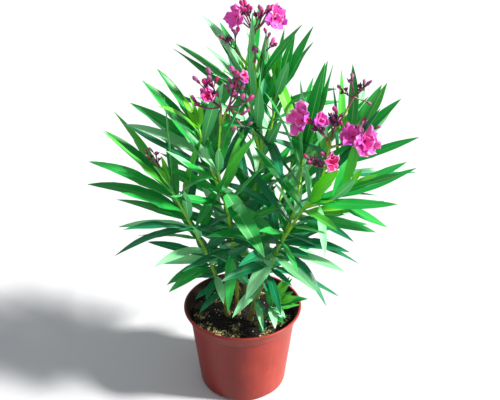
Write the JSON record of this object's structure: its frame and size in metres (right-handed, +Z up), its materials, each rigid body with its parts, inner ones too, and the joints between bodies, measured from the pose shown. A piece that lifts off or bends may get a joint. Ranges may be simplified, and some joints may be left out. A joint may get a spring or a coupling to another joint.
{
  "type": "potted oleander",
  "caption": "Oleander shrub in a tapered nursery pot: leaning leafy stems with side boughs, narrow leaves in whorls and heads of pink blossom; a patio plant.",
  "frame": {"origin": "centre of the pot's flat underside, which stands on the ground", "axes": "+Z up, +X to the right and -Y towards the front, the side with the long drooping lower leaves and most of the blossom"},
  "size_m": [0.4946, 0.3528, 0.6279],
  "materials": {
    "pot": "satin",
    "compost": "matte",
    "bark": "matte",
    "leaf": "satin",
    "blossom": "matte"
  },
  "bodies": {
    "root": {"bough_centre_left": "bark", "bough_right_front": "bark", "bough_right_outer": "bark", "bough_right_upper": "bark", "bough_top_left": "bark", "bough_top_right": "bark", "compost": "compost", "flower_head_centre_left": "blossom", "flower_head_centre_right": "blossom", "flower_head_left_faded": "blossom", "flower_head_right_inner": "blossom", "flower_head_right_low": "blossom", "flower_head_right_middle": "blossom", "flower_head_right_outer": "blossom", "flower_head_right_twig": "blossom", "flower_head_top_buds": "blossom", "flower_head_top_left": "blossom", "flower_head_top_right": "blossom", "foliage_back_middle": "leaf", "foliage_centre_left": "leaf", "foliage_centre_low": "leaf", "foliage_centre_top": "leaf", "foliage_foot_right": "leaf", "foliage_left_low": "leaf", "foliage_left_top": "leaf", "foliage_rear_left": "leaf", "foliage_rear_right": "leaf", "foliage_right_front": "leaf", "foliage_right_low": "leaf", "foliage_right_outer": "leaf", "foliage_right_top": "leaf", "foliage_right_upper": "leaf", "foliage_top_left": "leaf", "foliage_top_right": "leaf", "pot": "pot", "stem_back": "bark", "stem_centre": "bark", "stem_foot_right": "bark", "stem_left": "bark", "stem_rear_left": "bark", "stem_rear_right": "bark", "stem_right": "bark"}
  },
  "joints": []
}
